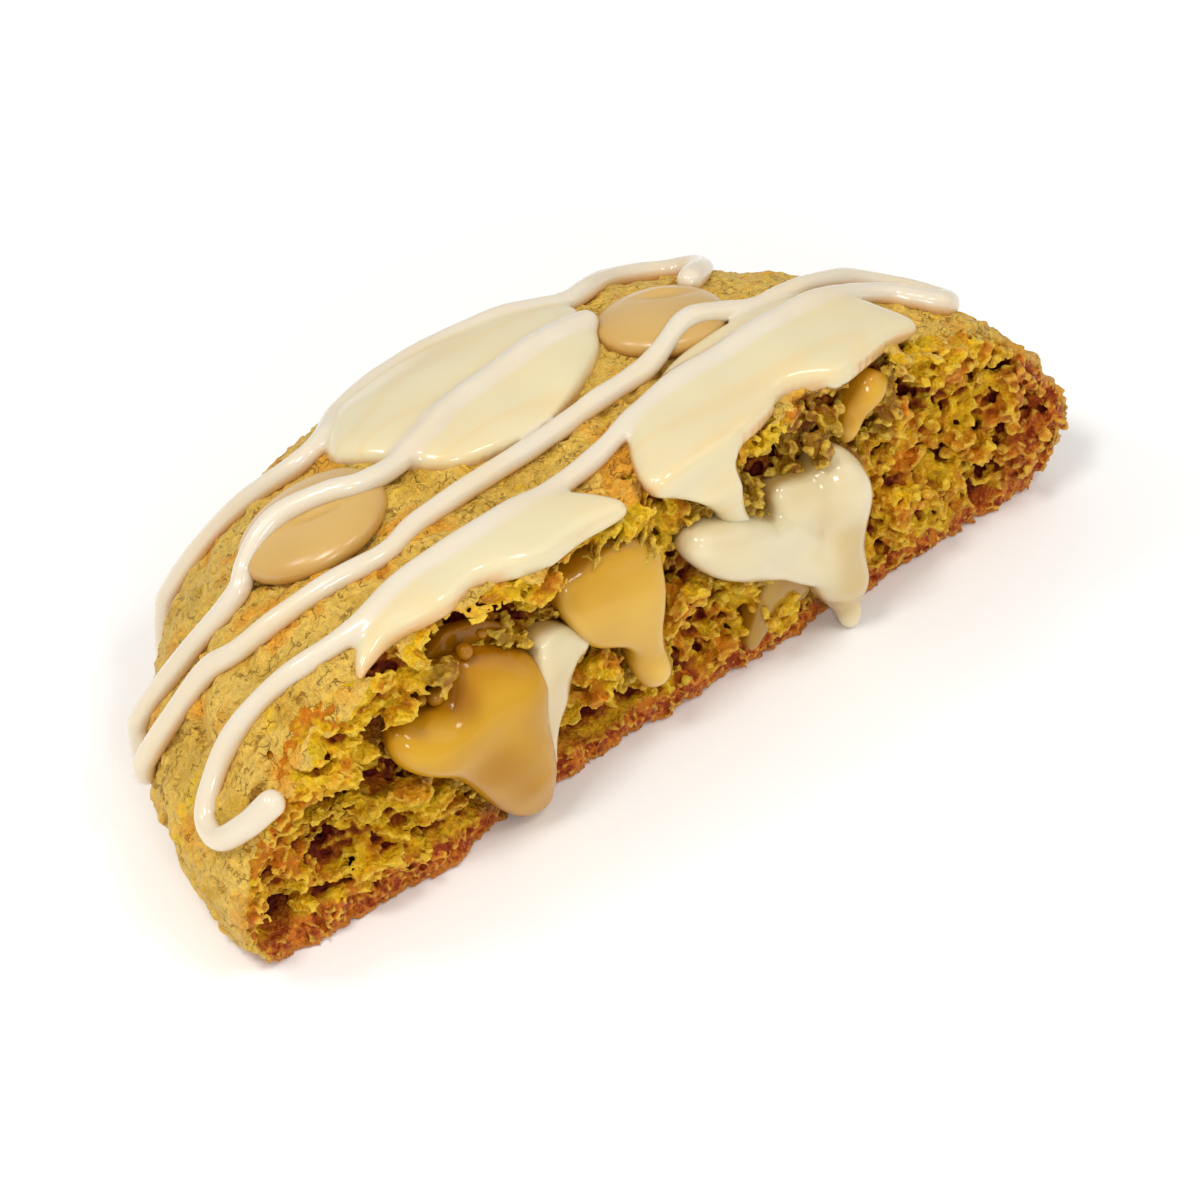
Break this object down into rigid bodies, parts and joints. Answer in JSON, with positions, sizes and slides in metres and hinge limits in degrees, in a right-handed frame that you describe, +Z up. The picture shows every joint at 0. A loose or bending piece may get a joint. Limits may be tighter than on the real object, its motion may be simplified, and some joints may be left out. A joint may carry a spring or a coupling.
{
  "type": "turmeric cookie half",
  "caption": "Half of a thick soft golden cookie, torn across, with caramel discs, white pools, a zigzag drizzle and melted fillings on the torn face.",
  "frame": {"origin": "on the resting surface, under the middle of the half cookie's outline", "axes": "+X along the tear to the right as seen from the torn face, +Y from the torn face to the round back, +Z up"},
  "size_m": [0.1038, 0.0485, 0.0322],
  "materials": {
    "dough": "matte baked crust and torn crumb",
    "white_icing": "glossy set icing",
    "caramel_disc": "satin caramel",
    "white_pool": "glossy melted white filling",
    "caramel_flow": "wet glossy caramel",
    "white_flow": "wet glossy white filling"
  },
  "bodies": {
    "root": {"dough": "dough", "white_drizzle_back": "white_icing", "white_drizzle_front": "white_icing", "caramel_disc_left": "caramel_disc", "caramel_disc_right": "caramel_disc", "white_pool_back": "white_pool", "white_pool_right": "white_pool", "white_pool_front": "white_pool", "caramel_flow_left": "caramel_flow", "caramel_flow_middle": "caramel_flow", "caramel_flow_right": "caramel_flow", "white_flow_left": "white_flow", "white_flow_right": "white_flow"}
  },
  "joints": []
}
